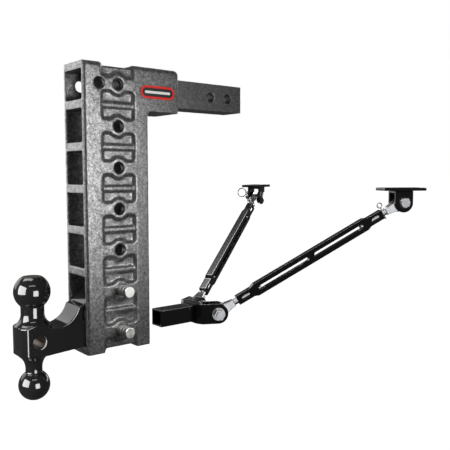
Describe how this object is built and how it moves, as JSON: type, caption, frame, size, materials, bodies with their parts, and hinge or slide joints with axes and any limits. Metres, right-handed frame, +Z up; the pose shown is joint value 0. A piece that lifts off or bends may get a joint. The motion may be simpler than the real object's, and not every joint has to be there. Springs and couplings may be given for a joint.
{
  "type": "weight distribution hitch",
  "caption": "Adjustable drop hitch: pocketed inverted-L body with shank, pinned dual-ball and pintle mount, and a two-arm turnbuckle frame brace.",
  "frame": {"origin": "the middle of the shank's free end face, on the shank's own axis", "axes": "+X towards the towing vehicle along the shank, +Z up, +Y to the vehicle's left"},
  "size_m": [0.7699, 0.5233, 0.5543],
  "materials": {
    "cast_body": "silver-vein hammertone powder coat on steel, satin",
    "shank_body": "silver-vein hammertone powder coat on steel, satin, finer",
    "badge_red": "gloss red enamel",
    "badge_dark": "satin dark enamel",
    "badge_white": "gloss white enamel",
    "gloss_black": "gloss black powder coat on forged steel",
    "bare_steel": "turned bare steel",
    "brace_black": "semi-gloss black powder coat on steel",
    "zinc": "bright zinc plate",
    "spring_wire": "bright drawn wire"
  },
  "bodies": {
    "hitch": {"right_side_plate": "cast_body", "left_side_plate": "cast_body", "cross_ribs": "cast_body", "top_plate": "cast_body", "bottom_plate": "cast_body", "rear_wall": "cast_body", "head_floor": "cast_body", "shank_stop": "cast_body", "shank_collar": "cast_body", "hitch_shank": "shank_body", "badge_rim": "badge_red", "badge_field": "badge_dark", "badge_bar": "badge_white", "dual_ball_mount": "gloss_black"},
    "upper_pin": {"upper_pin": "bare_steel", "upper_pin_knob": "bare_steel"},
    "lower_pin": {"lower_pin": "bare_steel", "lower_pin_knob": "bare_steel"},
    "brace_hub": {"brace_tube": "brace_black", "hub_block": "brace_black", "right_hub_clevis": "brace_black", "left_hub_clevis": "brace_black", "hub_bolts": "zinc", "hub_nuts": "zinc", "hub_washers": "zinc"},
    "right_inner_jaw": {"right_inner_jaw": "zinc"},
    "right_turnbuckle": {"right_turnbuckle": "brace_black"},
    "right_outer_jaw": {"right_outer_jaw": "zinc", "right_stud_clip": "spring_wire"},
    "right_frame_bracket": {"right_bracket_clevis": "brace_black", "right_bracket_plate": "brace_black", "right_frame_pin": "zinc", "right_pin_clip": "spring_wire"},
    "left_inner_jaw": {"left_inner_jaw": "zinc"},
    "left_turnbuckle": {"left_turnbuckle": "brace_black"},
    "left_outer_jaw": {"left_outer_jaw": "zinc", "left_stud_clip": "spring_wire"},
    "left_frame_bracket": {"left_bracket_clevis": "brace_black", "left_bracket_plate": "brace_black", "left_frame_pin": "zinc", "left_pin_clip": "spring_wire"}
  },
  "joints": [
    {"name": "upper_pin_pull", "type": "slide", "parent": "hitch", "child": "upper_pin", "axis": [0, 1, 0], "range_m": [0, 0.11]},
    {"name": "lower_pin_pull", "type": "slide", "parent": "hitch", "child": "lower_pin", "axis": [0, 1, 0], "range_m": [0, 0.11]},
    {"name": "brace_insert", "type": "slide", "parent": "hitch", "child": "brace_hub", "axis": [-1, 0, 0], "range_m": [0, 0.071]},
    {"name": "right_arm_tilt", "type": "hinge", "parent": "brace_hub", "child": "right_inner_jaw", "pos_m": [-0.06809, -0.03561, -0.41408], "axis": [-0.4802, -0.8771, 0], "range_deg": [-45, 30]},
    {"name": "right_turnbuckle_spin", "type": "hinge", "parent": "right_inner_jaw", "child": "right_turnbuckle", "pos_m": [-0.06809, -0.03561, -0.41408], "axis": [0.7672, -0.42, 0.4848], "range_deg": [0, 3600]},
    {"name": "right_arm_extend", "type": "slide", "parent": "right_inner_jaw", "child": "right_outer_jaw", "axis": [0.7672, -0.42, 0.4848], "range_m": [0, 0.03918]},
    {"name": "right_bracket_swing", "type": "hinge", "parent": "right_outer_jaw", "child": "right_frame_bracket", "pos_m": [0.26563, -0.21831, -0.20318], "axis": [-0.4802, -0.8771, 0], "range_deg": [-60, 28]},
    {"name": "left_arm_tilt", "type": "hinge", "parent": "brace_hub", "child": "left_inner_jaw", "pos_m": [-0.06809, 0.03561, -0.41408], "axis": [0.4802, -0.8771, 0], "range_deg": [-45, 30]},
    {"name": "left_turnbuckle_spin", "type": "hinge", "parent": "left_inner_jaw", "child": "left_turnbuckle", "pos_m": [-0.06809, 0.03561, -0.41408], "axis": [0.7672, 0.42, 0.4848], "range_deg": [0, 3600]},
    {"name": "left_arm_extend", "type": "slide", "parent": "left_inner_jaw", "child": "left_outer_jaw", "axis": [0.7672, 0.42, 0.4848], "range_m": [0, 0.03918]},
    {"name": "left_bracket_swing", "type": "hinge", "parent": "left_outer_jaw", "child": "left_frame_bracket", "pos_m": [0.26563, 0.21831, -0.20318], "axis": [0.4802, -0.8771, 0], "range_deg": [-60, 28]}
  ],
  "couplings": [
    {"joint": "right_arm_extend", "follows": "right_turnbuckle_spin", "m_per_rad": 0.00062193},
    {"joint": "left_arm_extend", "follows": "left_turnbuckle_spin", "m_per_rad": 0.00062193}
  ]
}
